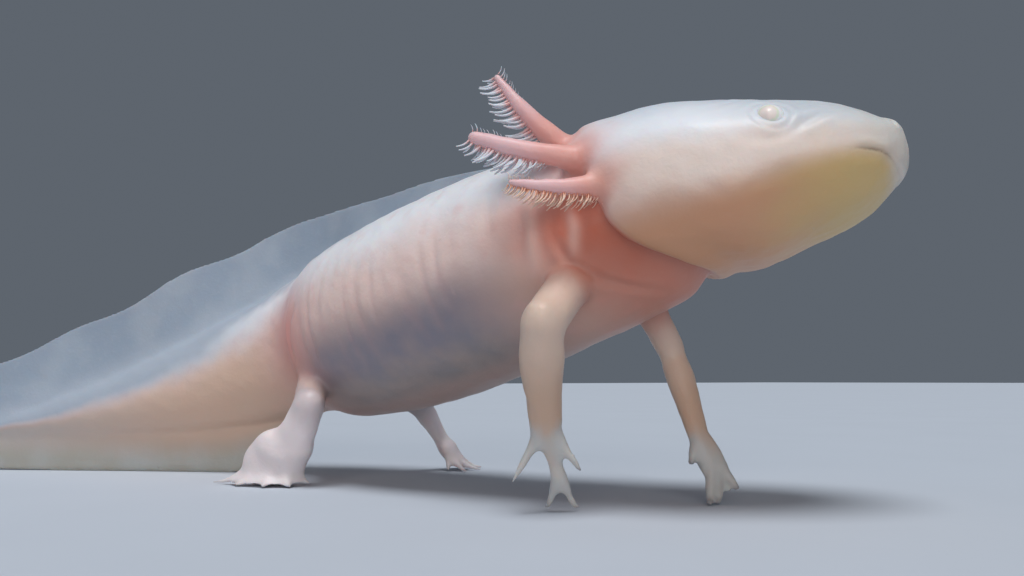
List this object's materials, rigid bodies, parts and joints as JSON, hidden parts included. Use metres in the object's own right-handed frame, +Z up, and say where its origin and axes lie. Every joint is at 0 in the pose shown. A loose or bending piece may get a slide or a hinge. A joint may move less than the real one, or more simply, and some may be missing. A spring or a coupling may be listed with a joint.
{
  "type": "axolotl",
  "caption": "Life-size pale axolotl walking with raised head and chest, feathery gills, splayed feet and a finned tail laid to one side.",
  "frame": {"origin": "middle of the bounding box's footprint, on the floor", "axes": "+X forward along the trunk, +Y to the animal's left, +Z up from the floor"},
  "size_m": [0.1796, 0.0814, 0.0576],
  "materials": {
    "skin": "moist, softly glossy pale skin",
    "fin": "thin translucent fin skin",
    "gill": "soft pink gill stalk with filaments",
    "eye": "glossy pale eye"
  },
  "bodies": {
    "root": {"back_fin": "fin", "belly": "skin", "chest": "skin", "eye_left": "eye", "eye_right": "eye", "foreleg_left_foot": "skin", "foreleg_left_lower": "skin", "foreleg_left_upper": "skin", "foreleg_right_foot": "skin", "foreleg_right_lower": "skin", "foreleg_right_upper": "skin", "gill_left_lower": "gill", "gill_left_middle": "gill", "gill_left_upper": "gill", "gill_right_lower": "gill", "gill_right_middle": "gill", "gill_right_upper": "gill", "head": "skin", "hind_leg_left_foot": "skin", "hind_leg_left_lower": "skin", "hind_leg_left_upper": "skin", "hind_leg_right_foot": "skin", "hind_leg_right_lower": "skin", "hind_leg_right_upper": "skin", "hips": "skin", "lower_jaw": "skin", "neck": "skin", "tail_end": "skin", "tail_fin_lower": "fin", "tail_fin_upper": "fin", "tail_root": "skin"}
  },
  "joints": []
}
